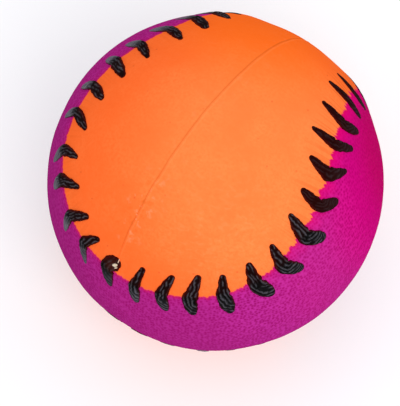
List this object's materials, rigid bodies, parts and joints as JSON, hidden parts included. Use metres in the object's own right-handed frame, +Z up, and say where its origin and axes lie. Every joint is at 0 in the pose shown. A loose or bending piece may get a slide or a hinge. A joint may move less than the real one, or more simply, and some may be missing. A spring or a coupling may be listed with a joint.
{
  "type": "rubber dog ball",
  "caption": "Hollow rubber dog ball with two interlocking colour panels and raised stitches along a curved seam, for throwing and fetching.",
  "frame": {"origin": "centre of the ball", "axes": "+Z up through the middle of the upper orange lobe, +Y through the neck of the orange panel, +X through the middle of a magenta lobe"},
  "size_m": [0.0636, 0.0634, 0.0636],
  "materials": {
    "bare_rubber": "matt moulded rubber",
    "orange_rubber": "matt coloured rubber",
    "magenta_rubber": "matt coloured rubber with a fine grain",
    "black_stitch": "satin black on moulded thread"
  },
  "bodies": {
    "root": {"half_shell_left": "bare_rubber", "half_shell_right": "bare_rubber", "orange_panel": "orange_rubber", "magenta_panel": "magenta_rubber", "stitch_row_top_right": "black_stitch", "stitch_row_top_left": "black_stitch", "stitch_row_bottom_left": "black_stitch", "stitch_row_bottom_right": "black_stitch"}
  },
  "joints": []
}
